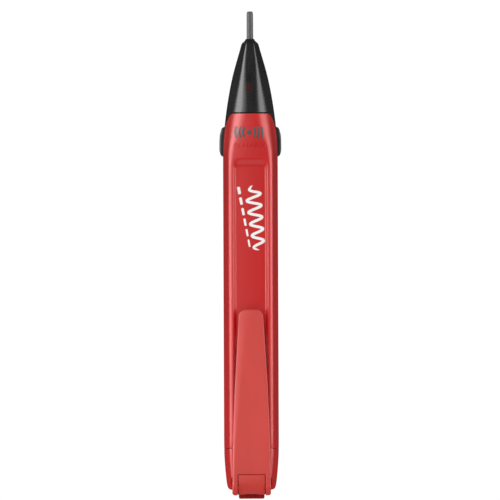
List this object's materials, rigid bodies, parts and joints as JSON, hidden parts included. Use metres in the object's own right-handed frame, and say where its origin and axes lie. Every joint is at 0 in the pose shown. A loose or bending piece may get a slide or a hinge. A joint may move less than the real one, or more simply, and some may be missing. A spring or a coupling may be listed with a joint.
{
  "type": "non contact voltage tester",
  "caption": "Pen-shaped non contact voltage tester: slim casing, smoky nose with a flat sensing fin, flank finger guards, sprung pocket clip and a pull-out battery tray.",
  "frame": {"origin": "under the middle of the tester's box, at the flat bottom of the tail block", "axes": "+Z from the tail to the fin's tip, -Y out of the face with the pocket clip, +X to the right when that face is looked at with the fin up"},
  "size_m": [0.021, 0.023, 0.165],
  "materials": {
    "red_casing": "fine moulded texture, satin",
    "red_clip": "fine moulded texture, satin",
    "smoky_nose": "smoke-tinted, polished",
    "black_trim": "satin black",
    "fin_grey": "dark grey, satin",
    "board_green": "lacquered laminate",
    "chip_black": "moulded resin",
    "spring_steel": "nickel plated",
    "contact_brass": "bright",
    "cell_wrap": "plain dark printed wrap",
    "lamp_red": "clear red resin",
    "lamp_green": "clear green resin",
    "tray_white": "natural moulding",
    "wire_red": "insulation"
  },
  "bodies": {
    "housing": {"front_housing": "red_casing", "rear_housing": "red_casing", "nose_cone": "smoky_nose", "finger_guard_left": "black_trim", "finger_guard_right": "black_trim", "probe_blade": "fin_grey", "sensor_antenna": "contact_brass", "antenna_lead": "wire_red", "circuit_board": "board_green", "board_carrier": "black_trim", "board_screw_1": "spring_steel", "board_screw_2": "spring_steel", "controller_chip": "chip_black", "storage_capacitor": "chip_black", "input_resistor": "chip_black", "red_led": "lamp_red", "green_led": "lamp_green", "buzzer_case": "black_trim", "buzzer_disc": "contact_brass", "switch_body": "black_trim", "positive_contact": "contact_brass", "return_contact": "contact_brass"},
    "power_button": {"power_button": "black_trim"},
    "switch_plunger": {"switch_plunger": "black_trim"},
    "battery_drawer": {"end_cap": "red_casing", "battery_tray": "tray_white", "battery_lower": "cell_wrap", "battery_upper": "cell_wrap", "negative_spring": "spring_steel", "negative_strip": "contact_brass", "clip_pin": "spring_steel"},
    "pocket_clip": {"pocket_clip": "red_clip", "clip_spring": "spring_steel"}
  },
  "joints": [
    {"name": "battery_drawer_slide", "type": "slide", "parent": "housing", "child": "battery_drawer", "axis": [0, 0, -1], "range_m": [0, 0.09]},
    {"name": "pocket_clip_hinge", "type": "hinge", "parent": "battery_drawer", "child": "pocket_clip", "pos_m": [0, -0.00835, 0.0044], "axis": [1, 0, 0], "range_deg": [0, 10], "stiffness_Nm_per_rad": 0.3, "springref_deg": -17.19},
    {"name": "power_button_press", "type": "slide", "parent": "housing", "child": "power_button", "axis": [0, -1, 0], "range_m": [0, 0.0005], "stiffness_N_per_m": 600, "springref_m": -0.001},
    {"name": "switch_plunger_press", "type": "slide", "parent": "housing", "child": "switch_plunger", "axis": [0, -1, 0], "range_m": [0, 0.0005]}
  ],
  "couplings": [
    {"joint": "switch_plunger_press", "follows": "power_button_press", "ratio": 1}
  ]
}
